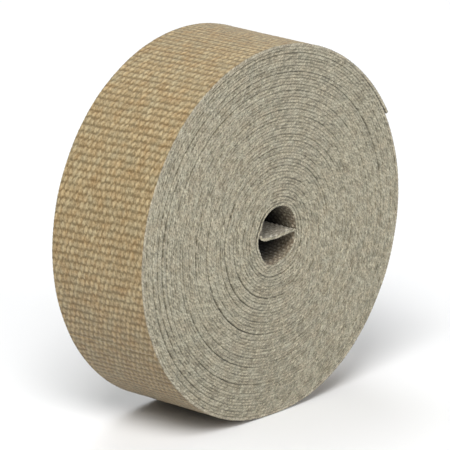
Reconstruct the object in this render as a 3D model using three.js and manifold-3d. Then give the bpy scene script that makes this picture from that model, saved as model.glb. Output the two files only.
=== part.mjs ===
// A roll of woven heat wrap for exhaust pipes: one long strip wound on itself, standing on its rim.
// Millimetres, +Z up. The roll's axis runs along Y, and the face that shows the winding looks along -Y.
// Angles are in degrees from +X towards +Z, anticlockwise when that face is looked at.
// Followed inwards from its outer end, the strip runs anticlockwise.

import * as THREE from 'three';
import { mergeVertices } from 'three/addons/utils/BufferGeometryUtils.js';
import Module from 'manifold-3d';

// Driving dimensions of the strip and of the roll, which is widest at the strip's outer end
const STRIP_WIDTH = 50.8;
const STRIP_THICKNESS = 1.27;
const OUTER_DIAMETER = 162.1;
const BORE_DIAMETER = 25.4;
const OUTER_END_ANGLE = 27.6;

// The winding is slack on one side, so the bore lies off the rim's middle
const BORE_SHIFT_X = 3.1;
const BORE_SHIFT_Z = -1.6;

// Two turns lie close together and read as one ridge, with a groove before the next pair
const TURNS_PER_RIDGE = 2;
const GROOVE_WIDTH = 0.8;
const GROOVE_DEPTH = 1;

// The inner end of the strip bends off the wall of the bore and lies across it as a flap
const FLAP_BEND_RADIUS = 1.8;
const FLAP_DROP = 2;
const FLAP_TIP_RISE = 1.2;
const FLAP_TIP_GAP = 0.9;

// The flap's course, as shares of the bore's radius to the side and of the drop downwards
const FLAP_COURSE = [[0.3, 0.4], [-0.15, 1], [-0.65, 1]];

// Facets of the round surfaces
const FACETS_PER_TURN = 32;
const FLAP_BEND_STEPS = 4;
const FLAP_COURSE_STEPS = 12;

const FULL_TURN = 360;
const outerRadius = OUTER_DIAMETER / 2;
const boreRadius = BORE_DIAMETER / 2;
const ridgePitch = TURNS_PER_RIDGE * STRIP_THICKNESS;
const windingTurns = (outerRadius - boreRadius) / ridgePitch - 1;
const innerEndAngle = OUTER_END_ANGLE + FULL_TURN * windingTurns;

const wasm = await Module();
wasm.setup();

// The middle of a turn drifts from the bore's middle to the rim's as the turns grow
function turnMiddle(radius) {
  const slack = (outerRadius - radius) / (outerRadius - boreRadius);
  return new THREE.Vector2(BORE_SHIFT_X * slack, BORE_SHIFT_Z * slack);
}

// A point of a turn, seen on the end face
function turnPoint(radius, angle) {
  const turned = THREE.MathUtils.degToRad(angle);
  return turnMiddle(radius).add(new THREE.Vector2(Math.cos(turned), Math.sin(turned)).multiplyScalar(radius));
}

// One whole turn of a surface that creeps inwards by a ridge, from its widest point anticlockwise
function creepingTurn(widestRadius, startAngle) {
  const points = [];
  for (let facet = 0; facet <= FACETS_PER_TURN; facet += 1) {
    const share = facet / FACETS_PER_TURN;
    points.push(turnPoint(widestRadius - ridgePitch * share, startAngle + FULL_TURN * share));
  }
  return points;
}

// Middle line of the flap with the bore's middle as its origin and the strip's inner end on the X axis.
// It leaves the wall upwards, bends round to the far side, drops a little and turns up at its tip.
function flapMiddleLine() {
  const bendMiddle = boreRadius + STRIP_THICKNESS / 2 - FLAP_BEND_RADIUS;
  const lowest = FLAP_BEND_RADIUS - FLAP_DROP;
  const points = [];
  for (let step = 0; step < FLAP_BEND_STEPS; step += 1) {
    const turned = (Math.PI / 2) * (step / FLAP_BEND_STEPS);
    points.push(new THREE.Vector2(
      bendMiddle + FLAP_BEND_RADIUS * Math.cos(turned),
      FLAP_BEND_RADIUS * Math.sin(turned),
    ));
  }
  const crossing = new THREE.SplineCurve([
    new THREE.Vector2(bendMiddle, FLAP_BEND_RADIUS),
    ...FLAP_COURSE.map(([side, drop]) => (
      new THREE.Vector2(boreRadius * side, FLAP_BEND_RADIUS - FLAP_DROP * drop)
    )),
    new THREE.Vector2(FLAP_TIP_GAP + STRIP_THICKNESS / 2 - boreRadius, lowest + FLAP_TIP_RISE),
  ]);
  return [...points, ...crossing.getSpacedPoints(FLAP_COURSE_STEPS)];
}

// The two sides of the flap, half a strip's thickness from its middle line
function flapSides() {
  const line = flapMiddleLine();
  const bore = turnMiddle(boreRadius);
  const turned = THREE.MathUtils.degToRad(innerEndAngle);
  const under = [];
  const over = [];
  line.forEach((point, i) => {
    const ahead = line[Math.min(i + 1, line.length - 1)];
    const behind = line[Math.max(i - 1, 0)];
    const along = i === 0 ? new THREE.Vector2(0, 1) : ahead.clone().sub(behind).normalize();
    const across = new THREE.Vector2(-along.y, along.x).multiplyScalar(STRIP_THICKNESS / 2);
    const origin = new THREE.Vector2();
    under.push(point.clone().add(across).rotateAround(origin, turned).add(bore));
    over.push(point.clone().sub(across).rotateAround(origin, turned).add(bore));
  });
  return { under, over };
}

// The whole roll seen on its end face: the spiral rim with the step of the outer end,
// and the bore, whose outline runs on round the flap
function rollOutline() {
  const outline = new THREE.Shape(creepingTurn(outerRadius, OUTER_END_ANGLE));
  const { under, over } = flapSides();
  const boreWall = creepingTurn(boreRadius + ridgePitch, innerEndAngle);
  outline.holes.push(new THREE.Path([...boreWall, ...under.slice(1), ...over.reverse()]));
  return outline;
}

// The line between the ridges on one end face. It starts a facet ahead of the outer end and
// closes at the inner end, and it is stepped evenly in angle, as the rim is.
class RidgeGap extends THREE.Curve {
  constructor(place) {
    super();
    this.place = place;
    this.steps = Math.ceil((windingTurns - 1) * FACETS_PER_TURN) + 1;
  }

  getPoint(share) {
    const turns = (this.steps * share - 1) / FACETS_PER_TURN;
    const point = turnPoint(outerRadius - ridgePitch * (1 + turns), OUTER_END_ANGLE + FULL_TURN * turns);
    return new THREE.Vector3(point.x, this.place, point.y);
  }

  getUtoTmapping(share) {
    return share;
  }
}

// The V groove of one end face, from a little proud of the face down to its bottom.
// The section's first axis points along -Y once it follows the line.
function grooveCutter(side) {
  const proud = GROOVE_DEPTH / 2;
  const halfWidth = (GROOVE_WIDTH / 2) * (1 + proud / GROOVE_DEPTH);
  const section = new THREE.Shape([
    new THREE.Vector2(-side * proud, -halfWidth),
    new THREE.Vector2(-side * proud, halfWidth),
    new THREE.Vector2(side * GROOVE_DEPTH, 0),
  ]);
  const gap = new RidgeGap((side * STRIP_WIDTH) / 2);
  return toManifold(new THREE.ExtrudeGeometry(section, { steps: gap.steps, extrudePath: gap }));
}

// A closed geometry as a solid that can be cut
function toManifold(geometry) {
  geometry.deleteAttribute('normal');
  geometry.deleteAttribute('uv');
  const closed = mergeVertices(geometry);
  return new wasm.Manifold(new wasm.Mesh({
    numProp: 3,
    vertProperties: closed.attributes.position.array,
    triVerts: Uint32Array.from(closed.index.array),
  }));
}

// The cut solid, moved so that the roll stands on Z = 0 with its middle over the origin
function toGeometry(solid) {
  const { vertProperties, triVerts } = solid.getMesh();
  const geometry = new THREE.BufferGeometry();
  geometry.setAttribute('position', new THREE.BufferAttribute(vertProperties, 3));
  geometry.setIndex(new THREE.BufferAttribute(triVerts, 1));
  geometry.computeBoundingBox();
  const { min, max } = geometry.boundingBox;
  geometry.translate(-(min.x + max.x) / 2, -(min.y + max.y) / 2, -min.z);
  geometry.computeVertexNormals();
  return geometry;
}

// The roll as one solid, with the gap between its ridges cut into both end faces
function buildRoll() {
  const winding = new THREE.ExtrudeGeometry(rollOutline(), { depth: STRIP_WIDTH, bevelEnabled: false });
  winding.rotateX(Math.PI / 2);
  winding.translate(0, STRIP_WIDTH / 2, 0);
  return toManifold(winding).subtract(grooveCutter(-1)).subtract(grooveCutter(1));
}

const wovenStrip = new THREE.MeshStandardMaterial({ color: 0xa39a82, roughness: 0.9, metalness: 0 });
const roll = new THREE.Mesh(toGeometry(buildRoll()), wovenStrip);
roll.name = 'wrap_roll';

const part = new THREE.Group();
part.add(roll);

export default part;
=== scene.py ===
"""The finish of a roll of woven heat wrap for exhaust pipes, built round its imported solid.

One long strip of plain-woven glass-fibre tape is wound on itself and stands on its rim. The strip is
followed from its outer end inwards, to the flap that lies across the bore. Lengths are millimetres
until a mesh is placed, and places along the strip are counted in turns from its outer end. Angles are
degrees from +X towards +Z, anticlockwise on the end face that looks along -Y.
"""

import logging
import math
from dataclasses import dataclass, field
from enum import Enum

import bmesh
import bpy
import numpy as np
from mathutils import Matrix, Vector

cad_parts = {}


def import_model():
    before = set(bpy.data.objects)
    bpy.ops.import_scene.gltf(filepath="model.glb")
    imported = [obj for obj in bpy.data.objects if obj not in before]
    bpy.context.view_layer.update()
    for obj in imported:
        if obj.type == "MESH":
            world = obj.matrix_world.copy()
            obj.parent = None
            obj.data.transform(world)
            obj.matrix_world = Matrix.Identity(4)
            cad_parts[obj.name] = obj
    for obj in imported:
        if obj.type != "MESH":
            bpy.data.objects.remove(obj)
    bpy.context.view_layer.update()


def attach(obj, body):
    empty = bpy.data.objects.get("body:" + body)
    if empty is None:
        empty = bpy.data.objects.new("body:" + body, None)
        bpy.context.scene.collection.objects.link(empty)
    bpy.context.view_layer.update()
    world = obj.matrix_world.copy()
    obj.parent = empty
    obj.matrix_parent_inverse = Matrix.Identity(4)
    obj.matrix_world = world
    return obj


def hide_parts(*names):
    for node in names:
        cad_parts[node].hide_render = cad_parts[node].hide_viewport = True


Socket = bpy.types.NodeSocket
Pair = tuple[float, float]

LOG = logging.getLogger("wrap_roll")
MM = 0.001
FULL_TURN = 360.0
PACKED_NODE = "wrap_roll"
COLOUR_SOCKET, VALUE_SOCKET, VECTOR_SOCKET = "NodeSocketColor", "NodeSocketFloat", "NodeSocketVector"

# Factors that scramble the numbers of a lattice cell into its random value
CELL_FACTORS = (12.9898, 78.233, 37.719)
SCRAMBLE = 43758.5453

# Phases of the waves that add up to a slow unevenness, for each unit of the seed
FIRST_PHASE = 1.7
NEXT_PHASE = 2.3

# Vertices closer than this are one, in metres
WELD_REACH = 1e-7

# Angles at which the round of a selvedge is drawn, from the inner face to the outer
PLAIN_NOSE = (-45.0, 0.0, 45.0)
WOVEN_NOSE = (-72.0, -36.0, 0.0, 36.0, 72.0)

# Where most values of a noise texture lie
NOISE_SPAN = (0.3, 0.7)


class Weave(Enum):
    """Which broad faces of a stretch carry the modelled weave: 1 is the outer face, -1 the inner."""

    NONE = ()
    OUTER = (1,)
    BOTH = (1, -1)


class Edge(Enum):
    """The two selvedges of the strip, by the sign of Y that they lie on."""

    NEAR = -1
    FAR = 1


def lattice_random(first: np.ndarray, second: np.ndarray, seed: float) -> np.ndarray:
    """Gives each cell of a lattice its own steady random value.

    Args:
        first: Whole numbers of the cells, one way.
        second: Whole numbers of the cells, the other way.
        seed: Which of the many such patterns.

    Returns:
        Values from 0 to 1, the same on each run.
    """
    by_first, by_second, by_seed = CELL_FACTORS
    mixed = np.sin(first * by_first + second * by_second + seed * by_seed) * SCRAMBLE
    return mixed - np.floor(mixed)


def wandering(place: np.ndarray, wavelengths: tuple[float, ...], seed: float) -> np.ndarray:
    """Adds up waves that never come back in step, for slow unevenness.

    Args:
        place: Places along the strip.
        wavelengths: Length of each wave, in the unit of place.
        seed: Which of the many such curves.

    Returns:
        Values from about -1 to 1.
    """
    total = np.zeros_like(place, dtype=float)
    for count, wavelength in enumerate(wavelengths):
        total += np.sin(math.tau * place / wavelength + seed * (FIRST_PHASE + NEXT_PHASE * count))
    return total / len(wavelengths)


@dataclass(frozen=True)
class StripSizes:
    """The woven strip as it lies flat.

    The nose is the round of a selvedge in section, and it is flatter the lower nose_flatness is. A bead
    is one turn of the weft round the last warp yarn. It leans along the strip by bead_slant for each
    millimetre of thickness, as the picks lean by pick_skew for each millimetre of width.
    """

    width: float = 50.8
    thickness: float = 1.3
    warp_ends: int = 38
    pick_skew: float = 0.046
    selvedge_depth: float = 0.32
    nose_flatness: float = 0.6
    bead_spacing: float = 1.6
    bead_depth: float = 0.2
    bead_slant: float = 1.1

    @property
    def warp_pitch(self) -> float:
        """Distance from one warp yarn to the next."""
        return (self.width - 2 * self.selvedge_depth) / self.warp_ends


@dataclass(frozen=True)
class SlackGap:
    """A place where a turn stands off the turn inside it and a dark line shows."""

    turn: float
    start_angle: float
    end_angle: float
    opening: float


@dataclass(frozen=True)
class Slump:
    """A place where turns lie further in or out than in a round winding, most of all at one end of it."""

    angle: float
    spread: float
    move: float
    reach: float
    steepness: float = 1.0
    at_rim: bool = False


@dataclass(frozen=True)
class RollSizes:
    """The winding, seen on its end face.

    The outer end stands off the roll by tail_lift, which fades over tail_length turns. Every second turn
    is drawn to the next by pair_shift, most of all at pair_angle. A gap moves the turns beside it too,
    each by gap_reach of the one before. The ends of the turns lie unevenly by end_unevenness, in slow
    waves and in quick ones. The flap's points are counted from the middle of the bore.
    """

    rim_radius: float = 80.6
    bore_radius: float = 12.7
    outer_end_angle: float = 27.6
    inner_end_angle: float = 355.0
    whole_turns: int = 51
    bore_shift: Pair = (3.1, -1.6)
    rim_middle: Pair = (0.55, 79.03)
    tail_lift: float = 0.7
    tail_length: float = 0.03
    end_unevenness: float = 0.3
    slow_share: float = 1.1
    slow_waves: tuple[float, ...] = (1270.0, 431.0, 177.0, 93.0)
    slow_seed: float = 2.0
    quick_share: float = 0.25
    quick_waves: tuple[float, ...] = (37.0, 23.0)
    quick_seed: float = 8.0
    pair_shift: float = 0.06
    pair_angle: float = 130.0
    gap_reach: float = 0.62
    gaps: tuple[SlackGap, ...] = (
        SlackGap(1, 85, 158, 0.25),
        SlackGap(3, 112, 190, 0.22),
        SlackGap(4, 198, 246, 0.28),
        SlackGap(6, 108, 208, 0.30),
        SlackGap(8, 112, 212, 0.33),
        SlackGap(8, 350, 425, 0.33),
        SlackGap(11, 196, 264, 0.28),
        SlackGap(12, 104, 202, 0.25),
        SlackGap(15, 332, 366, 0.33),
        SlackGap(17, 150, 252, 0.30),
        SlackGap(23, 92, 208, 0.33),
        SlackGap(24, 355, 385, 0.28),
        SlackGap(28, 148, 268, 0.36),
        SlackGap(30, 360, 378, 0.28),
        SlackGap(36, 128, 238, 0.33),
        SlackGap(36, 356, 428, 0.30),
        SlackGap(40, 160, 268, 0.30),
        SlackGap(47, 118, 322, 0.33),
        SlackGap(50, 120, 195, 0.44),
        SlackGap(51, 330, 365, 0.33),
    )
    slumps: tuple[Slump, ...] = (
        Slump(270, 16, -0.85, 25, at_rim=True),
        Slump(25, 35, 0.9, 5, at_rim=True),
        Slump(0, 1000, -0.8, 18),
        Slump(8, 38, -1.2, 14),
        Slump(8, 38, -0.7, 2.45, steepness=6),
        Slump(155, 14, -0.9, 4),
        Slump(205, 9, -0.4, 2),
        Slump(245, 14, 0.6, 4),
        Slump(295, 32, -1.3, 8),
    )
    flap: tuple[Pair, ...] = (
        (10.72, 0.0), (10.05, 0.58), (8.3, 0.45), (5.9, 0.3), (2.2, 0.05), (-0.6, -0.25),
        (-3.9, -0.05), (-8.1, 0.25), (-10.0, 0.95), (-11.2, 2.3),
    )

    @property
    def turns(self) -> float:
        """Turns from the outer end to where the flap leaves the wall of the bore."""
        return self.whole_turns + (self.inner_end_angle - self.outer_end_angle) / FULL_TURN


class StripCourse:
    """The line that the middle of the strip's thickness follows on the end face."""

    steps_per_turn: int = 720
    flap_steps: int = 24
    flap_lead: float = 0.02
    gap_ease: float = 0.03
    gap_neighbours: int = 6
    gap_share: float = 0.85
    gap_unevenness: float = 0.3
    gap_waves: tuple[float, ...] = (0.011, 0.019, 0.043)
    unpaired_outside: int = 1
    unpaired_inside: int = 2
    unevenness: float = 0.08
    uneven_waves: tuple[float, ...] = (0.231, 0.377, 0.53)
    uneven_seed: float = 4.0

    def __init__(self, roll: RollSizes, strip: StripSizes) -> None:
        """Works out the whole course from the outer end to the tip of the flap.

        Args:
            roll: Sizes of the winding.
            strip: Sizes of the strip.
        """
        self.roll = roll
        self.strip = strip
        self.pitch = (roll.rim_radius - strip.thickness - roll.bore_radius) / roll.turns
        turns = np.linspace(0.0, roll.turns, round(roll.turns * self.steps_per_turn) + 1)
        points = np.vstack([self._turn_points(turns), self._flap_points()])
        lengths = np.hypot(*np.diff(points, axis=0).T)
        self.points = points
        self.length = np.concatenate([[0.0], np.cumsum(lengths)])
        self.turn_length = self.length[: len(turns)]
        self.turns = turns
        tangent = np.gradient(points, self.length, axis=0)
        tangent /= np.linalg.norm(tangent, axis=1)[:, None]
        self.outward = np.column_stack([tangent[:, 1], -tangent[:, 0]])

    def _opened(self, turns: np.ndarray) -> np.ndarray:
        """Moves each turn out or in where gaps open beside it.

        Args:
            turns: Places along the strip.

        Returns:
            The move of each place, outwards.
        """
        moved = np.zeros_like(turns)
        for gap in self.roll.gaps:
            start = gap.turn + (gap.start_angle - self.roll.outer_end_angle) / FULL_TURN
            end = gap.turn + (gap.end_angle - self.roll.outer_end_angle) / FULL_TURN
            for away in range(self.gap_neighbours):
                share = gap.opening * self.gap_share * self.roll.gap_reach ** away
                moved += share * self._window(turns + away, start, end)
                moved -= share * self._window(turns - 1 - away, start, end)
        return moved

    def _window(self, turns: np.ndarray, start: float, end: float) -> np.ndarray:
        """Rises from 0 to about 1 at one place and falls again at another, unevenly between.

        Args:
            turns: Places along the strip.
            start: Where it rises.
            end: Where it falls.

        Returns:
            Its value at each place.
        """
        rise = (1 + np.tanh((turns - start) / self.gap_ease / 2)) / 2
        uneven = 1 - self.gap_unevenness * (1 - wandering(turns, self.gap_waves, start))
        return uneven * rise * (1 - np.tanh((turns - end) / self.gap_ease / 2)) / 2

    def _slumped(self, turns: np.ndarray) -> np.ndarray:
        """Moves turns where the roll has slumped at its bore or at its foot.

        Args:
            turns: Places along the strip.

        Returns:
            The move of each place, outwards.
        """
        angle = self.roll.outer_end_angle + FULL_TURN * turns
        moved = np.zeros_like(turns)
        for slump in self.roll.slumps:
            away = np.mod(angle - slump.angle + FULL_TURN / 2, FULL_TURN) - FULL_TURN / 2
            depth = turns if slump.at_rim else np.maximum(self.roll.turns - turns, 0.0)
            fading = np.exp(-(depth / slump.reach) ** slump.steepness)
            moved += slump.move * fading * np.exp(-(away / slump.spread) ** 2)
        return moved

    def _paired(self, turns: np.ndarray) -> np.ndarray:
        """Draws every second turn towards the next, most of all on the side where the pairs are seen.

        Args:
            turns: Places along the strip.

        Returns:
            The move of each place, outwards.
        """
        off_side = turns - (self.roll.pair_angle - self.roll.outer_end_angle) / FULL_TURN
        inner_share = np.clip(self.roll.turns - self.unpaired_inside - turns, 0.0, 1.0)
        outer_share = np.clip(turns - self.unpaired_outside, 0.0, 1.0)
        return self.roll.pair_shift * (inner_share * outer_share) * np.cos(math.pi * off_side)

    def _turn_points(self, turns: np.ndarray) -> np.ndarray:
        """Places points on the turns, whose middle drifts from the rim's to the bore's.

        Args:
            turns: Places along the strip.

        Returns:
            X and Z of each point.
        """
        roll = self.roll
        radius = roll.rim_radius - self.strip.thickness / 2 - self.pitch * turns
        slack = (roll.rim_radius - radius) / (roll.rim_radius - roll.bore_radius)
        uneven = self.unevenness * wandering(turns, self.uneven_waves, self.uneven_seed)
        uneven *= np.minimum(1.0, turns)
        lift = roll.tail_lift * np.exp(-turns / roll.tail_length)
        radius = radius + self._opened(turns) + self._slumped(turns) + self._paired(turns) + uneven + lift
        angle = np.radians(roll.outer_end_angle + FULL_TURN * turns)
        return np.column_stack([
            roll.rim_middle[0] + roll.bore_shift[0] * slack + radius * np.cos(angle),
            roll.rim_middle[1] + roll.bore_shift[1] * slack + radius * np.sin(angle),
        ])

    def _flap_points(self) -> np.ndarray:
        """Draws a smooth line through the flap's chosen points, from the wall of the bore.

        Returns:
            X and Z of each point after the last turn.
        """
        ends = self._turn_points(np.array([self.roll.turns - self.flap_lead, self.roll.turns]))
        bore = np.array(self.roll.rim_middle) + np.array(self.roll.bore_shift)
        knots = np.vstack([ends, bore + np.array(self.roll.flap)])
        knots = np.vstack([knots, 2 * knots[-1] - knots[-2]])
        share = np.linspace(0.0, 1.0, self.flap_steps, endpoint=False)[:, None]
        pieces = []
        for before, start, end, after in zip(knots, knots[1:], knots[2:], knots[3:]):
            span = np.linalg.norm(end - start)
            leave = (end - before) / np.linalg.norm(end - before) * span
            arrive = (after - start) / np.linalg.norm(after - start) * span
            cube, square = share ** 3, share ** 2
            pieces.append(
                (2 * cube - 3 * square + 1) * start + (cube - 2 * square + share) * leave
                + (3 * square - 2 * cube) * end + (cube - square) * arrive
            )
        return np.vstack(pieces)[1:]

    def length_at(self, turn: float) -> float:
        """Gives the strip's length from its outer end to a turn."""
        return float(np.interp(turn, self.turns, self.turn_length))

    def at(self, length: np.ndarray) -> tuple[np.ndarray, np.ndarray]:
        """Finds places and outward directions along the strip.

        Args:
            length: Lengths from the outer end.

        Returns:
            X and Z of each place, and the outward direction there.
        """
        place = np.column_stack([np.interp(length, self.length, axis) for axis in self.points.T])
        outward = np.column_stack([np.interp(length, self.length, axis) for axis in self.outward.T])
        return place, outward / np.linalg.norm(outward, axis=1)[:, None]


@dataclass
class Surface:
    """How the strip's surface lies over its plain section and how the yarn looks there; crest sets its
    painted shade.
    """

    rise: np.ndarray
    crest: np.ndarray
    tone: np.ndarray
    swell: np.ndarray | float = 1.0


@dataclass(frozen=True)
class PlainWeave:
    """Warp yarns along the strip that swell into a bead wherever they pass over a pick.

    Picks and warp yarns wobble in waves, whose lengths are counted in yarns. Beads differ in size, in
    height and in tone, and each is jittered off its place by a share of its own size.
    """

    strip: StripSizes
    pick_spacing: float = 3.2
    relief: float = 0.35
    bead_half_width: float = 1.2
    bead_half_length: float = 1.75
    bead_lean: float = 0.12
    bead_roundness: float = 0.75
    bead_jitter: float = 0.3
    least_bead: float = 0.72
    least_size: float = 0.85
    size_range: float = 0.3
    weft_half_width: float = 1.45
    weft_roundness: float = 0.7
    weft_rise: float = 0.17
    pick_wobble: float = 0.07
    pick_drift: float = 0.31
    pick_waves: tuple[float, ...] = (5.3, 9.1, 23.0)
    pick_seed: float = 1.0
    warp_wobble: float = 0.17
    warp_drift: float = 0.2
    warp_waves: tuple[float, ...] = (3.7, 8.3, 17.0)
    warp_seed: float = 2.0
    bead_seeds: tuple[float, ...] = (1.0, 3.0, 5.0, 7.0, 9.0)
    plain_tone: float = 0.5

    def over(self, length: np.ndarray, across: np.ndarray) -> Surface:
        """Works out the relief of a broad face.

        Args:
            length: Lengths along the strip.
            across: Distances from the near edge of the weave.

        Returns:
            Rise over the face's highest level, how near the yarn's crest it is for painted shade, and its
            tone.
        """
        strip = self.strip
        pick = (length - strip.pick_skew * across) / self.pick_spacing
        warp = across / strip.warp_pitch - 0.5
        drifted = warp + self.pick_drift * pick
        pick = pick + self.pick_wobble * wandering(drifted, self.pick_waves, self.pick_seed)
        drifted = pick - self.warp_drift * warp
        warp = warp + self.warp_wobble * wandering(drifted, self.warp_waves, self.warp_seed)
        rise = np.full_like(pick, -self.relief)
        tone = np.full_like(pick, self.plain_tone)
        for step in (0, 1):
            row = np.floor(pick) + step
            odd = np.mod(row, 2)
            column = 2 * np.round((warp - odd) / 2) + odd
            sized, raised, toned, slid, pushed = (
                lattice_random(column, row, seed) for seed in self.bead_seeds
            )
            along = (pick - row) * self.pick_spacing
            beside = (warp - column) * strip.warp_pitch - self.bead_lean * along
            weft = np.clip(1 - (along / self.weft_half_width) ** 2, 0, 1) ** self.weft_roundness
            rise = np.maximum(rise, -self.relief + self.weft_rise * weft)
            size = self.least_size + self.size_range * sized
            along = along + self.bead_jitter * (slid - 0.5) * self.bead_half_length
            beside = beside + self.bead_jitter * (pushed - 0.5) * self.bead_half_width
            off_side, off_end = beside / self.bead_half_width / size, along / self.bead_half_length / size
            spread = off_side ** 2 + off_end ** 2
            height = self.relief * (self.least_bead + (1 - self.least_bead) * raised)
            bead = -self.relief + height * np.clip(1 - spread, 0, 1) ** self.bead_roundness
            tone = np.where(bead > rise, toned, tone)
            rise = np.maximum(rise, bead)
        return Surface(rise, 1 + rise / self.relief, tone)


@dataclass(frozen=True)
class BeadedSelvedge:
    """The edge of the strip, where the weft turns back round the last warp yarn.

    Between two beads the strip is thinner by pinch, and over a bead it is thicker by bulge. Painted shade
    darkens the yarn between beads down to low_crest. A bead's crest lies off the middle of the thickness
    by crest_shift at most, and painted shade deepens away from there by its fall.
    """

    strip: StripSizes
    pinch: float = 0.2
    bulge: float = 0.14
    roundness: float = 0.8
    least_size: float = 0.4
    most_size: float = 1.35
    mean_hump: float = 0.6
    low_crest: float = 0.3
    crest_shift: float = 0.4
    crest_reach: float = 1.2
    painted_shade_fall: float = 0.5
    edge_phase: float = 0.37
    wander: float = 0.5
    wander_waves: tuple[float, ...] = (4.3, 9.7, 31.0)
    wander_seed: float = 6.0
    bead_seed: float = 3.0

    def over(self, length: np.ndarray, height: np.ndarray, edge: Edge) -> Surface:
        """Works out the beads of one selvedge.

        Args:
            length: Lengths along the strip.
            height: Places in the strip's thickness, from its middle.
            edge: Which selvedge.

        Returns:
            Rise outwards along the roll's axis, nearness to a bead's crest for painted shade, and its
            tone.
        """
        strip = self.strip
        slanted = length + strip.bead_slant * height
        bead = slanted / strip.bead_spacing + self.edge_phase * edge.value
        bead = bead + self.wander * wandering(bead, self.wander_waves, self.wander_seed + edge.value)
        number = np.floor(bead)
        seed = self.bead_seed + edge.value
        sized, toned, shifted = (
            lattice_random(number, np.full_like(number, row), seed) for row in range(3)
        )
        hump = np.abs(np.sin(np.pi * bead)) ** self.roundness
        size = self.least_size + (self.most_size - self.least_size) * sized
        off_middle = height / (strip.thickness / 2) - self.crest_shift * (2 * shifted - 1)
        off_middle = np.clip(off_middle, -self.crest_reach, self.crest_reach)
        # Painted shade: darker between beads, and away from a bead's crest towards the valleys between
        # turns
        crest = self.low_crest + (1 - self.low_crest) * hump * np.minimum(size, 1.0)
        crest = crest * (1 - self.painted_shade_fall * (1 - sized) * off_middle ** 2)
        rise = strip.bead_depth * size * (hump - self.mean_hump)
        swell = 1 + self.bulge * size * hump - self.pinch * (1 - hump)
        return Surface(rise, np.clip(crest, 0, 1), toned, swell)


@dataclass
class StripSection:
    """The strip cut across: a closed loop of points through both selvedges and both faces."""

    strip: StripSizes
    weave: Weave
    columns_each: int = 4
    across: np.ndarray = field(init=False)
    height: np.ndarray = field(init=False)
    nose: np.ndarray = field(init=False)
    face: np.ndarray = field(init=False)

    def __post_init__(self) -> None:
        """Lays out the loop from the far end of the inner face, round the near selvedge, and back."""
        half = self.strip.thickness / 2
        flat = self.strip.width / 2 - self.strip.selvedge_depth
        outer = self._face_places(flat, self.weave is not Weave.NONE)
        inner = self._face_places(flat, self.weave is Weave.BOTH)
        turned = np.radians(PLAIN_NOSE if self.weave is Weave.NONE else WOVEN_NOSE)
        nose_out = self.strip.selvedge_depth * np.cos(turned) ** self.strip.nose_flatness
        nose_up = half * np.sin(turned)
        loop = (
            (inner[::-1], -half, 0, -1),
            (-flat - nose_out, nose_up, np.cos(turned), 0),
            (outer, half, 0, 1),
            (flat + nose_out, -nose_up, np.cos(turned), 0),
            (inner[-1:], -half, 0, -1),
        )
        parts = [np.broadcast_arrays(*part) for part in loop]
        self.across, self.height, self.nose, self.face = (
            np.concatenate([part[index] for part in parts]).astype(float) for index in range(4)
        )

    def _face_places(self, flat: float, woven: bool) -> np.ndarray:
        """Spaces the points of one broad face.

        Args:
            flat: Half the width between the selvedges.
            woven: Whether the weave is modelled on it.

        Returns:
            Places across the strip.
        """
        spaces = self.strip.warp_ends * self.columns_each if woven else 1
        return np.linspace(-flat, flat, spaces + 1)

    @property
    def developed(self) -> np.ndarray:
        """Distance round the loop from its start, for the strip's own map."""
        steps = np.hypot(np.diff(self.across), np.diff(self.height))
        return np.concatenate([[0.0], np.cumsum(steps)])


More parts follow.
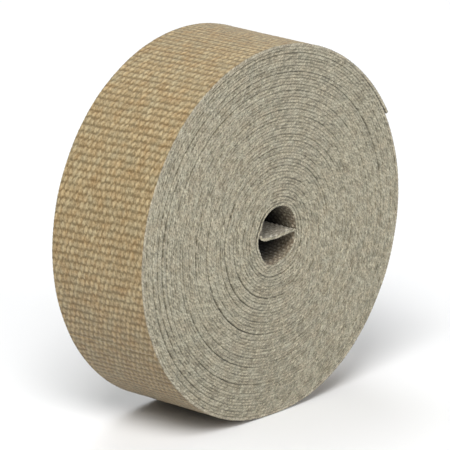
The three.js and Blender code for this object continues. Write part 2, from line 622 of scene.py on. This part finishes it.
@dataclass
class StripStretch:
    """A stretch of the wound strip as one closed mesh, cut a little short so that it touches no other."""

    name: str
    start: float
    end: float
    weave: Weave
    steps_per_bead: int
    cloth: PlainWeave
    columns_each: int = 4
    cut: float = 0.02

    def build(self, course: StripCourse, material: bpy.types.Material) -> bpy.types.Object:
        """Makes the mesh, places it, and dresses it.

        Args:
            course: The line that the strip follows.
            material: The finish of its yarn.

        Returns:
            The finished piece.
        """
        section = StripSection(course.strip, self.weave, self.columns_each)
        step = course.strip.bead_spacing / self.steps_per_bead
        first = math.ceil((self.start + self.cut) / step)
        last = math.floor((self.end - self.cut) / step)
        length = np.arange(first, last + 1) * step
        length[0], length[-1] = self.start + self.cut, self.end - self.cut
        mesh = self._grid(len(length) - 1, len(section.across) - 1)
        index = self._grid_index(mesh, len(length) - 1, len(section.across) - 1)
        self._shape(mesh, index, course, section, length)
        self._map(mesh, index, section, length)
        self._close(mesh)
        mesh.materials.append(material)
        piece = bpy.data.objects.new(self.name, mesh)
        bpy.context.scene.collection.objects.link(piece)
        triangles = sum(len(face.vertices) - 2 for face in mesh.polygons)
        LOG.info("%s: %.0f mm of strip, %d triangles", self.name, self.end - self.start, triangles)
        return piece

    def _grid(self, steps: int, round_steps: int) -> bpy.types.Mesh:
        """Starts from a flat grid, one side along the strip and the other round its section.

        Args:
            steps: Divisions along the strip.
            round_steps: Divisions round the section.

        Returns:
            The grid, from -1 to 1 both ways.
        """
        grid = bmesh.new()
        bmesh.ops.create_grid(grid, x_segments=steps, y_segments=round_steps, size=1.0, calc_uvs=False)
        mesh = bpy.data.meshes.new(self.name)
        grid.to_mesh(mesh)
        grid.free()
        return mesh

    def _grid_index(self, mesh: bpy.types.Mesh, steps: int, round_steps: int) -> np.ndarray:
        """Finds which step and which point of the section each vertex of the grid is.

        Args:
            mesh: The flat grid, from -1 to 1 both ways.
            steps: Its divisions along the strip.
            round_steps: Its divisions round the section.

        Returns:
            Two whole numbers for each vertex.
        """
        places = np.empty(len(mesh.vertices) * 3, dtype=np.float32)
        mesh.vertices.foreach_get("co", places)
        flat = (places.reshape(-1, 3)[:, :2].astype(float) + 1) / 2
        return np.rint(flat * np.array([steps, round_steps])).astype(int)

    def _shape(
        self, mesh: bpy.types.Mesh, index: np.ndarray, course: StripCourse,
        section: StripSection, length: np.ndarray,
    ) -> None:
        """Moves the grid's vertices onto the wound strip and notes how the yarn looks there.

        Args:
            mesh: The grid.
            index: Step and section point of each vertex.
            course: The line that the strip follows.
            section: The strip cut across.
            length: Length along the strip at each step.
        """
        strip = course.strip
        along = length[index[:, 0]]
        across = section.across[index[:, 1]]
        height = section.height[index[:, 1]]
        nose = section.nose[index[:, 1]]
        face = section.face[index[:, 1]]
        place, outward = course.at(length)
        place, outward = place[index[:, 0]], outward[index[:, 0]]
        woven = np.isin(face, self.weave.value)
        crest = np.empty_like(along)
        tone = np.empty_like(along)
        sideways = self._sideways(course, along)
        for edge in Edge:
            there = ~woven & (np.sign(across) == edge.value)
            beads = BeadedSelvedge(strip).over(along[there], height[there], edge)
            across[there] += edge.value * beads.rise * nose[there]
            height[there] *= beads.swell
            crest[there], tone[there] = beads.crest, beads.tone
        flat = strip.width / 2 - strip.selvedge_depth
        for side in (1, -1):
            there = woven & (face == side)
            turned_over = self.cloth.pick_spacing if side < 0 else 0.0
            weave = self.cloth.over(along[there] + turned_over, across[there] + flat)
            height[there] += side * weave.rise
            crest[there], tone[there] = weave.crest, weave.tone
        moved = place + outward * height[:, None]
        co = np.column_stack([moved[:, 0], across + sideways, moved[:, 1]]) * MM
        mesh.vertices.foreach_set("co", co.astype(np.float32).ravel())
        # How near each vertex lies to a yarn's crest, which sets the painted shade of the finish
        self._note(mesh, "crest", crest)
        self._note(mesh, "tone", tone)
        self._note(mesh, "edge", ~woven)
        self._note(mesh, "inward", woven & (face < 0))

    def _sideways(self, course: StripCourse, along: np.ndarray) -> np.ndarray:
        """Shifts the turns a little along the axis, as a hand-wound roll lies.

        Args:
            course: The line that the strip follows.
            along: Lengths along the strip.

        Returns:
            The shift along Y.
        """
        roll = course.roll
        slow = wandering(along, roll.slow_waves, roll.slow_seed)
        quick = wandering(along, roll.quick_waves, roll.quick_seed)
        return roll.end_unevenness * (roll.slow_share * slow + roll.quick_share * quick)

    def _note(self, mesh: bpy.types.Mesh, name: str, values: np.ndarray) -> None:
        """Stores one value for each vertex, for the finish to read."""
        attribute = mesh.attributes.new(name, "FLOAT", "POINT")
        attribute.data.foreach_set("value", np.asarray(values, dtype=np.float32))

    def _map(
        self, mesh: bpy.types.Mesh, index: np.ndarray, section: StripSection, length: np.ndarray,
    ) -> None:
        """Maps the strip as it lies flat: length along it and distance round it, in metres.

        Args:
            mesh: The shaped grid.
            index: Step and section point of each vertex.
            section: The strip cut across.
            length: Length along the strip at each step.
        """
        corners = np.empty(len(mesh.loops), dtype=np.int32)
        mesh.loops.foreach_get("vertex_index", corners)
        place = np.column_stack([length[index[:, 0]], section.developed[index[:, 1]]])[corners] * MM
        mesh.uv_layers.new(name="strip_map").uv.foreach_set("vector", place.astype(np.float32).ravel())

    def _close(self, mesh: bpy.types.Mesh) -> None:
        """Joins the seam of the section, caps both ends and turns all faces outwards.

        Args:
            mesh: The shaped grid.
        """
        shell = bmesh.new()
        shell.from_mesh(mesh)
        bmesh.ops.remove_doubles(shell, verts=shell.verts, dist=WELD_REACH)
        open_edges = [edge for edge in shell.edges if edge.is_boundary]
        bmesh.ops.holes_fill(shell, edges=open_edges, sides=0)
        bmesh.ops.recalc_face_normals(shell, faces=shell.faces)
        for face in shell.faces:
            face.smooth = len(face.verts) == 4
        shell.to_mesh(mesh)
        shell.free()


@dataclass(frozen=True)
class YarnShades:
    """Colours of a glass yarn from the crease beside it to its crest, as seen, in sRGB; the crease is
    painted shade.
    """

    crease: tuple[int, int, int]
    body: tuple[int, int, int]
    crest: tuple[int, int, int]


@dataclass(frozen=True)
class YarnFinish:
    """The finish of the woven strip on its faces and on its selvedges.

    The wall of the bore darkens with painted shade away from its mouths, to the deep shade over the
    depths of the deep span, counted from the middle of the width. The rim darkens with painted shade
    towards the floor, to the foot shade over the heights of the foot span. Both spans are in metres.
    """

    name: str
    face: YarnShades
    selvedge: YarnShades
    inward: YarnShades
    rough_range: Pair = (0.9, 0.72)
    sheen: float = 0.2
    sheen_roughness: float = 0.5
    specular: float = 0.28
    bump: float = 0.35
    bump_height: float = 0.00025
    painted_deep_shade: float = 1.0
    painted_deep_span: Pair = (0.012, 0.0245)
    painted_foot_shade: float = 1.0
    painted_foot_span: Pair = (0.0, 0.08)


@dataclass(frozen=True)
class YarnPattern:
    """How yarn varies from place to place. Scales are repeats in a metre.

    A span is the part of a noise or of an attribute that counts, and a range is what its ends become.
    Loose fibres blur the line between crease and crest by fuzz_reach, as a share of the relief.
    """

    fuzz_reach: float = 0.36
    body_span: Pair = (0.1, 0.6)
    crest_span: Pair = (0.55, 1.0)
    hue_range: Pair = (0.492, 0.508)
    saturation_range: Pair = (1.1, 0.9)
    tone_range: Pair = (0.91, 1.09)
    patch_range: Pair = (0.975, 1.025)
    patch_scale: float = 42.0
    patch_detail: float = 3.0
    tint_scale: float = 190.0
    tint_detail: float = 2.0
    strand_scale: tuple[float, float, float] = (380.0, 3600.0, 1.0)
    strand_detail: float = 2.0
    strand_share: float = 0.35
    fuzz_scale: tuple[float, float, float] = (1050.0, 1250.0, 1.0)
    fuzz_detail: float = 3.0
    streak_span: Pair = (0.33, 0.67)
    streak_range: Pair = (0.85, 1.13)
    dash_scale: tuple[float, float, float] = (850.0, 2000.0, 1.0)
    dash_slant: float = 36.0
    dash_detail: float = 1.5
    dash_roughness: float = 0.6
    dash_span: Pair = (0.34, 0.66)
    dash_range: Pair = (0.82, 1.18)


def seen_colour(colour: tuple[int, int, int]) -> tuple[float, float, float, float]:
    """Turns an sRGB colour into the linear one that a shader takes."""
    linear = [((c / 255 + 0.055) / 1.055) ** 2.4 if c > 10 else c / 255 / 12.92 for c in colour]
    return (*linear, 1.0)


class NodeBench:
    """Places and links shader nodes in one tree."""

    def __init__(self, tree: bpy.types.NodeTree) -> None:
        """Takes the tree to work in."""
        self.tree = tree

    def add(self, kind: str, **settings: object) -> bpy.types.Node:
        """Adds a node.

        Args:
            kind: Its type.
            settings: Its properties by name.

        Returns:
            The node.
        """
        node = self.tree.nodes.new(kind)
        for name, value in settings.items():
            setattr(node, name, value)
        return node

    def link(self, source: Socket, target: Socket) -> None:
        """Joins two sockets."""
        self.tree.links.new(source, target)

    def feed(self, target: Socket, value: object) -> None:
        """Links a socket, or sets a plain value.

        Args:
            target: The input.
            value: A socket or a plain value.
        """
        if isinstance(value, Socket):
            self.link(value, target)
        else:
            target.default_value = value

    def attribute(self, name: str) -> Socket:
        """Reads a value that the mesh holds for each vertex."""
        return self.add("ShaderNodeAttribute", attribute_name=name).outputs["Fac"]

    def math(self, operation: str, first: object, second: object = 0.0) -> Socket:
        """Adds a Math node.

        Args:
            operation: What it does.
            first: Its first value.
            second: Its second value.

        Returns:
            Its result.
        """
        node = self.add("ShaderNodeMath", operation=operation)
        self.feed(node.inputs[0], first)
        self.feed(node.inputs[1], second)
        return node.outputs[0]

    def stretch(
        self, value: object, span: Pair, onto: Pair,
    ) -> Socket:
        """Adds a clamped Map Range node.

        Args:
            value: What it maps.
            span: Both ends of the values that count.
            onto: What those ends become.

        Returns:
            Its result.
        """
        node = self.add("ShaderNodeMapRange", clamp=True)
        self.feed(node.inputs["Value"], value)
        for name, number in zip(("From Min", "From Max", "To Min", "To Max"), (*span, *onto)):
            node.inputs[name].default_value = number
        return node.outputs["Result"]

    def blend(self, share: object, first: object, second: object, way: str = "MIX") -> Socket:
        """Adds a colour Mix node.

        Args:
            share: Share of the second colour.
            first: The first colour.
            second: The second colour.
            way: How they blend.

        Returns:
            Its result.
        """
        node = self.add("ShaderNodeMix", data_type="RGBA", blend_type=way, clamp_factor=True)
        self.feed(node.inputs[0], share)
        self.feed(node.inputs[6], first)
        self.feed(node.inputs[7], second)
        return node.outputs[2]

    def noise(
        self, vector: object, scale: float, detail: float, roughness: float = 0.5,
    ) -> Socket:
        """Adds a Noise Texture node.

        Args:
            vector: The place that it reads.
            scale: Its repeats.
            detail: How many finer layers it has.
            roughness: How much each layer counts.

        Returns:
            Its value.
        """
        node = self.add("ShaderNodeTexNoise")
        self.feed(node.inputs["Vector"], vector)
        for name, number in (("Scale", scale), ("Detail", detail), ("Roughness", roughness)):
            node.inputs[name].default_value = number
        return node.outputs["Fac"]

    def scaled(
        self, vector: object, scale: tuple[float, float, float] = (1.0, 1.0, 1.0), turned: float = 0.0,
    ) -> Socket:
        """Adds a Mapping node.

        Args:
            vector: The place that it changes.
            scale: How far it stretches each axis.
            turned: Degrees that it turns the place about the third axis, after the stretch.

        Returns:
            The new place.
        """
        node = self.add("ShaderNodeMapping")
        self.feed(node.inputs["Vector"], vector)
        node.inputs["Scale"].default_value = scale
        node.inputs["Rotation"].default_value = (0.0, 0.0, math.radians(turned))
        return node.outputs["Vector"]


class YarnEffects:
    """Shader groups that every yarn finish shares."""

    def __init__(self, pattern: YarnPattern) -> None:
        """Builds each group once.

        Args:
            pattern: How the yarn varies.
        """
        self.pattern = pattern
        self.shade = self._build_shade()
        self.strands = self._build_strands()
        self.dashes = self._build_dashes()

    def _group(
        self, name: str, inputs: dict[str, str], outputs: dict[str, str],
    ) -> tuple[bpy.types.NodeTree, NodeBench, bpy.types.Node, bpy.types.Node]:
        """Starts a shader group with its sockets.

        Args:
            name: The group's name.
            inputs: Kind of each input by name.
            outputs: Kind of each output by name.

        Returns:
            The group, a bench in it, its input node and its output node.
        """
        tree = bpy.data.node_groups.new(name, "ShaderNodeTree")
        for socket, kind in inputs.items():
            tree.interface.new_socket(socket, in_out="INPUT", socket_type=kind)
        for socket, kind in outputs.items():
            tree.interface.new_socket(socket, in_out="OUTPUT", socket_type=kind)
        bench = NodeBench(tree)
        return tree, bench, bench.add("NodeGroupInput"), bench.add("NodeGroupOutput")

    def _build_shade(self) -> bpy.types.NodeTree:
        """Makes the group that paints shade on a yarn from crease to crest and varies it from bead to
        bead.

        Returns:
            The group.
        """
        pattern = self.pattern
        shades, values = ("Crease", "Body", "Crest"), ("Height", "Tone", "Patch", "Tint", "Fuzz")
        inputs = {**dict.fromkeys(shades, COLOUR_SOCKET), **dict.fromkeys(values, VALUE_SOCKET)}
        tree, bench, given, result = self._group("yarn_shade", inputs, {"Color": COLOUR_SOCKET})
        crease, body, crest = (given.outputs[name] for name in shades)
        height, tone, patch, tint, fuzz = (given.outputs[name] for name in values)
        blurred = bench.stretch(fuzz, NOISE_SPAN, (-pattern.fuzz_reach, pattern.fuzz_reach))
        height = bench.math("ADD", height, blurred)
        # Painted shade: the crease colour where the yarn lies low, the crest colour where it stands high
        yarn = bench.blend(bench.stretch(height, pattern.body_span, (0.0, 1.0)), crease, body)
        yarn = bench.blend(bench.stretch(height, pattern.crest_span, (0.0, 1.0)), yarn, crest)
        bright = bench.stretch(tone, (0.0, 1.0), pattern.tone_range)
        patchy = bench.stretch(patch, NOISE_SPAN, pattern.patch_range)
        shade = bench.add("ShaderNodeHueSaturation")
        bench.feed(shade.inputs["Hue"], bench.stretch(tint, NOISE_SPAN, pattern.hue_range))
        bench.feed(shade.inputs["Saturation"], bench.stretch(tint, NOISE_SPAN, pattern.saturation_range))
        bench.feed(shade.inputs["Value"], bench.math("MULTIPLY", bright, patchy))
        bench.feed(shade.inputs["Color"], yarn)
        bench.link(shade.outputs["Color"], result.inputs["Color"])
        return tree

    def _build_strands(self) -> bpy.types.NodeTree:
        """Makes the group that draws the fine glass strands along the strip and the loose fibres.

        Returns:
            The group.
        """
        pattern = self.pattern
        tree, bench, given, result = self._group(
            "glass_strands", {"Vector": VECTOR_SOCKET}, {"Strands": VALUE_SOCKET},
        )
        flat = given.outputs["Vector"]
        strands = bench.noise(bench.scaled(flat, pattern.strand_scale), 1.0, pattern.strand_detail)
        loose = bench.noise(bench.scaled(flat, pattern.fuzz_scale), 1.0, pattern.fuzz_detail)
        strands = bench.math("MULTIPLY", strands, pattern.strand_share)
        loose = bench.math("MULTIPLY", loose, 1 - pattern.strand_share)
        bench.link(bench.math("ADD", strands, loose), result.inputs["Strands"])
        return tree

    def _build_dashes(self) -> bpy.types.NodeTree:
        """Makes the group that draws the slanting turns of weft on the selvedges.

        Returns:
            The group.
        """
        pattern = self.pattern
        tree, bench, given, result = self._group(
            "weft_dashes", {"Vector": VECTOR_SOCKET}, {"Dashes": VALUE_SOCKET},
        )
        slanted = bench.scaled(given.outputs["Vector"], turned=pattern.dash_slant)
        drawn = bench.scaled(slanted, pattern.dash_scale)
        dashes = bench.noise(drawn, 1.0, pattern.dash_detail, pattern.dash_roughness)
        bench.link(dashes, result.inputs["Dashes"])
        return tree


class YarnMaterial:
    """Builds the material of a yarn finish."""

    def __init__(self, effects: YarnEffects) -> None:
        """Takes the shared groups."""
        self.effects = effects

    def build(self, finish: YarnFinish) -> bpy.types.Material:
        """Makes a material whose shades follow the crests, creases and selvedges of the strip.

        Args:
            finish: Its shades and its gloss.

        Returns:
            The material.
        """
        material = bpy.data.materials.new(finish.name)
        material.use_nodes = True
        material.node_tree.nodes.clear()
        bench = NodeBench(material.node_tree)
        flat = bench.add("ShaderNodeUVMap", uv_map="strip_map").outputs["UV"]
        strands = bench.add("ShaderNodeGroup", node_tree=self.effects.strands)
        dashes = bench.add("ShaderNodeGroup", node_tree=self.effects.dashes)
        bench.link(flat, strands.inputs["Vector"])
        bench.link(flat, dashes.inputs["Vector"])
        streaks = strands.outputs["Strands"]
        colour = self._colour(bench, finish, streaks, dashes.outputs["Dashes"])
        self._surface(bench, finish, colour, streaks)
        return material

    def _colour(
        self, bench: NodeBench, finish: YarnFinish, streaks: Socket, dashes: Socket,
    ) -> Socket:
        """Shades the outer face, the inner face and the selvedges, paints shade on the rim near the floor
        and deep in the bore, and lays the strands over them.

        Args:
            bench: The bench of the material.
            finish: Its shades.
            streaks: The strands and loose fibres.
            dashes: The turns of weft on the selvedges.

        Returns:
            The colour.
        """
        pattern = self.effects.pattern
        place = bench.add("ShaderNodeTexCoord").outputs["Object"]
        yarn = {
            "Height": bench.attribute("crest"),
            "Tone": bench.attribute("tone"),
            "Patch": bench.noise(place, pattern.patch_scale, pattern.patch_detail),
            "Tint": bench.noise(place, pattern.tint_scale, pattern.tint_detail),
            "Fuzz": streaks,
        }
        axes = bench.add("ShaderNodeSeparateXYZ")
        bench.link(place, axes.inputs["Vector"])
        from_middle = bench.math("ABSOLUTE", axes.outputs["Y"])
        # Painted shade: the wall of the bore darkens away from its mouths
        deep = bench.stretch(from_middle, finish.painted_deep_span, (finish.painted_deep_shade, 1.0))
        # Painted shade: the rim darkens towards the floor
        foot = bench.stretch(axes.outputs["Z"], finish.painted_foot_span, (finish.painted_foot_shade, 1.0))
        dashed = bench.stretch(dashes, pattern.dash_span, pattern.dash_range)
        streaked = bench.stretch(streaks, pattern.streak_span, pattern.streak_range)
        face = bench.blend(1.0, self._shaded(bench, finish.face, yarn), foot, "MULTIPLY")
        wall = bench.blend(1.0, self._shaded(bench, finish.inward, yarn), deep, "MULTIPLY")
        selvedge = bench.blend(1.0, self._shaded(bench, finish.selvedge, yarn), dashed, "MULTIPLY")
        broad = bench.blend(bench.attribute("inward"), face, wall)
        colour = bench.blend(bench.attribute("edge"), broad, selvedge)
        return bench.blend(1.0, colour, streaked, "MULTIPLY")

    def _surface(
        self, bench: NodeBench, finish: YarnFinish, colour: Socket, streaks: Socket,
    ) -> None:
        """Gives the yarn its gloss, its sheen and the relief of its strands.

        Args:
            bench: The bench of the material.
            finish: Its gloss.
            colour: Its colour.
            streaks: The strands and loose fibres.
        """
        shader = bench.add("ShaderNodeBsdfPrincipled")
        shader.inputs["Sheen Weight"].default_value = finish.sheen
        shader.inputs["Sheen Roughness"].default_value = finish.sheen_roughness
        shader.inputs["Specular IOR Level"].default_value = finish.specular
        bench.link(colour, shader.inputs["Base Color"])
        bench.link(bench.stretch(streaks, NOISE_SPAN, finish.rough_range), shader.inputs["Roughness"])
        bump = bench.add("ShaderNodeBump")
        bump.inputs["Strength"].default_value = finish.bump
        bump.inputs["Distance"].default_value = finish.bump_height
        bench.link(streaks, bump.inputs["Height"])
        bench.link(bump.outputs["Normal"], shader.inputs["Normal"])
        output = bench.add("ShaderNodeOutputMaterial")
        bench.link(shader.outputs["BSDF"], output.inputs["Surface"])

    def _shaded(
        self, bench: NodeBench, shades: YarnShades, yarn: dict[str, Socket],
    ) -> Socket:
        """Places the shading group with one set of shades.

        Args:
            bench: The bench of the material.
            shades: Colours of crease, body and crest.
            yarn: What the shading depends on, by the names of the group's inputs.

        Returns:
            The colour.
        """
        group = bench.add("ShaderNodeGroup", node_tree=self.effects.shade)
        group.inputs["Crease"].default_value = seen_colour(shades.crease)
        group.inputs["Body"].default_value = seen_colour(shades.body)
        group.inputs["Crest"].default_value = seen_colour(shades.crest)
        for name, socket in yarn.items():
            bench.link(socket, group.inputs[name])
        return group.outputs["Color"]


# Each set darkens from crest to crease as painted shade on the yarn
END_SHADES = YarnShades(crease=(92, 87, 71), body=(136, 130, 111), crest=(167, 161, 141))
CORNER_SHADES = YarnShades(crease=(97, 91, 76), body=(142, 135, 117), crest=(171, 164, 144))
FLAP_SHADES = YarnShades(crease=(118, 110, 95), body=(180, 173, 156), crest=(222, 215, 200))
WALL_SHADES = YarnShades(crease=(112, 101, 82), body=(164, 152, 130), crest=(206, 196, 174))
RIM_SHADES = YarnShades(crease=(111, 93, 61), body=(150, 131, 95), crest=(174, 155, 118))
# The rim finish paints shade on the rim, darker towards the floor
RIM_FINISH = YarnFinish(
    "tanned_glass_yarn", face=RIM_SHADES, selvedge=CORNER_SHADES, inward=WALL_SHADES, painted_foot_shade=0.74,
)
# The inner finish paints shade on the wall of the bore, darker away from its mouths
INNER_FINISH = YarnFinish(
    "raw_glass_yarn", face=FLAP_SHADES, selvedge=END_SHADES, inward=WALL_SHADES, painted_deep_shade=0.05,
)


@dataclass
class WrapRoll:
    """The whole roll, as stretches of its one strip. Each stretch is cut a few steps to a bead."""

    strip: StripSizes = field(default_factory=StripSizes)
    sizes: RollSizes = field(default_factory=RollSizes)
    rim_turns: tuple[float, ...] = (0.0, 0.5, 1.01)
    hidden_stretches: int = 3
    bore_turns: float = 1.1
    wound_steps: int = 3
    bore_steps: int = 4
    bore_columns: int = 3

    def build(self) -> list[bpy.types.Object]:
        """Makes every stretch, from the outer end to the flap.

        Returns:
            The pieces.
        """
        course = StripCourse(self.sizes, self.strip)
        LOG.info("strip: %.2f m in %.1f turns", course.length[-1] * MM, self.sizes.turns)
        maker = YarnMaterial(YarnEffects(YarnPattern()))
        rim, inner = maker.build(RIM_FINISH), maker.build(INNER_FINISH)
        pieces = [stretch.build(course, rim) for stretch in self._rim_stretches(course)]
        return pieces + [stretch.build(course, inner) for stretch in self._inner_stretches(course)]

    def _rim_stretches(self, course: StripCourse) -> list[StripStretch]:
        """Lays out the outermost turn, with its weave on the outer face.

        Args:
            course: The line that the strip follows.

        Returns:
            Its stretches.
        """
        weave = PlainWeave(self.strip)
        bounds = [course.length_at(turn) for turn in self.rim_turns]
        return [
            StripStretch(f"outer_turn_{count}", start, end, Weave.OUTER, self.wound_steps, weave)
            for count, (start, end) in enumerate(zip(bounds, bounds[1:]), 1)
        ]

    def _inner_stretches(self, course: StripCourse) -> list[StripStretch]:
        """Lays out the turns inside the outermost one, down to the tip of the flap.

        Args:
            course: The line that the strip follows.

        Returns:
            Their stretches.
        """
        fine = PlainWeave(
            self.strip, pick_spacing=1.6, relief=0.55, bead_half_width=0.7, bead_half_length=1.0,
            least_bead=0.5, weft_half_width=0.65, weft_rise=0.2,
        )
        outer_end = course.length_at(self.rim_turns[-1])
        bore_start = course.length_at(self.sizes.turns - self.bore_turns)
        bounds = np.linspace(outer_end, bore_start, self.hidden_stretches + 1)
        stretches = [
            StripStretch(f"wound_turns_{count}", start, end, Weave.NONE, self.wound_steps, fine)
            for count, (start, end) in enumerate(zip(bounds, bounds[1:]), 1)
        ]
        stretches.append(StripStretch(
            "bore_turn_and_flap", bore_start, course.length[-1], Weave.BOTH, self.bore_steps, fine,
            columns_each=self.bore_columns,
        ))
        return stretches


@dataclass(frozen=True)
class SoftLight:
    """A square soft light. Its place is counted from the roll's middle, in metres, its power in watts."""

    name: str
    offset: tuple[float, float, float]
    size: float
    power: float
    colour: tuple[float, float, float] = (1.0, 1.0, 1.0)


@dataclass
class Studio:
    """Pale floor with a painted shadow round the roll, soft lights and the camera at the photograph's
    angle.
    """

    target: Vector
    azimuth: float = -47.63
    elevation: float = 16.66
    distance: float = 2.058
    lens: float = 392.9
    shift: Pair = (-0.0080, -0.0057)
    floor_size: float = 6.0
    painted_shadow_span: Pair = (0.08, 0.5)
    painted_floor_shadow: Pair = (0.85, 0.97)
    floor_roughness: float = 0.9
    floor_specular: float = 0.1
    room_light: float = 0.17
    lights: tuple[SoftLight, ...] = (
        SoftLight("key_light", (-1.1, -0.8, 1.6), 1.0, 39.0),
        SoftLight("fill_light", (-0.1, -1.9, 0.7), 1.3, 19.0),
        SoftLight("side_light", (-1.5, 0.5, 1.5), 1.1, 7.0),
        SoftLight("back_light", (0.6, 1.0, 1.6), 1.2, 17.0, (0.95, 0.975, 1.0)),
    )

    def build(self) -> None:
        """Places everything that isn't part of the roll."""
        self._floor()
        self._world()
        for light in self.lights:
            self._hang(light)
        self._camera()

    def _floor(self) -> None:
        """Makes the floor, with a painted shadow that darkens it round the foot of the roll."""
        shape = bmesh.new()
        bmesh.ops.create_grid(shape, x_segments=1, y_segments=1, size=self.floor_size)
        mesh = bpy.data.meshes.new("studio_floor")
        shape.to_mesh(mesh)
        shape.free()
        material = bpy.data.materials.new("pale_floor_with_painted_shadow")
        material.use_nodes = True
        shader = material.node_tree.nodes["Principled BSDF"]
        bench = NodeBench(material.node_tree)
        away = bench.add("ShaderNodeVectorMath", operation="LENGTH")
        bench.link(bench.add("ShaderNodeTexCoord").outputs["Object"], away.inputs[0])
        # Painted shadow: the floor is darker near the roll and paler further off
        shade = bench.stretch(away.outputs["Value"], self.painted_shadow_span, self.painted_floor_shadow)
        bench.link(shade, shader.inputs["Base Color"])
        shader.inputs["Roughness"].default_value = self.floor_roughness
        shader.inputs["Specular IOR Level"].default_value = self.floor_specular
        mesh.materials.append(material)
        floor = bpy.data.objects.new("studio_floor", mesh)
        bpy.context.scene.collection.objects.link(floor)

    def _world(self) -> None:
        """Fills the room with pale light and keeps colours as they are seen."""
        world = bpy.data.worlds.new("pale_room")
        world.use_nodes = True
        background = world.node_tree.nodes["Background"]
        background.inputs["Color"].default_value = (1.0, 1.0, 1.0, 1.0)
        background.inputs["Strength"].default_value = self.room_light
        bpy.context.scene.world = world
        bpy.context.scene.view_settings.view_transform = "Standard"

    def _hang(self, light: SoftLight) -> None:
        """Hangs a light and turns it to the roll.

        Args:
            light: The light.
        """
        lamp = bpy.data.lights.new(light.name, "AREA")
        lamp.size = light.size
        lamp.energy = light.power
        lamp.color = light.colour
        hung = bpy.data.objects.new(light.name, lamp)
        hung.location = self.target + Vector(light.offset)
        hung.rotation_euler = (-Vector(light.offset)).to_track_quat("-Z", "Y").to_euler()
        bpy.context.scene.collection.objects.link(hung)

    def _camera(self) -> None:
        """Sets the camera where the photograph was taken from."""
        turned, raised = math.radians(self.azimuth), math.radians(self.elevation)
        back = Vector((
            math.sin(turned) * math.cos(raised), -math.cos(turned) * math.cos(raised), math.sin(raised),
        ))
        view = bpy.data.cameras.new("photo_camera")
        view.lens = self.lens
        view.shift_x, view.shift_y = self.shift
        camera = bpy.data.objects.new("photo_camera", view)
        camera.location = self.target + back * self.distance
        camera.rotation_euler = (-back).to_track_quat("-Z", "Y").to_euler()
        bpy.context.scene.collection.objects.link(camera)
        bpy.context.scene.camera = camera


def main() -> None:
    """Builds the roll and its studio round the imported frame."""
    logging.basicConfig(level=logging.INFO, format="%(name)s: %(message)s")
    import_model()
    roll = WrapRoll()
    for piece in roll.build():
        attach(piece, "root")
        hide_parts(PACKED_NODE)
    middle = Vector((roll.sizes.rim_middle[0], 0.0, roll.sizes.rim_middle[1])) * MM
    Studio(middle).build()


if __name__ == "__main__":
    main()
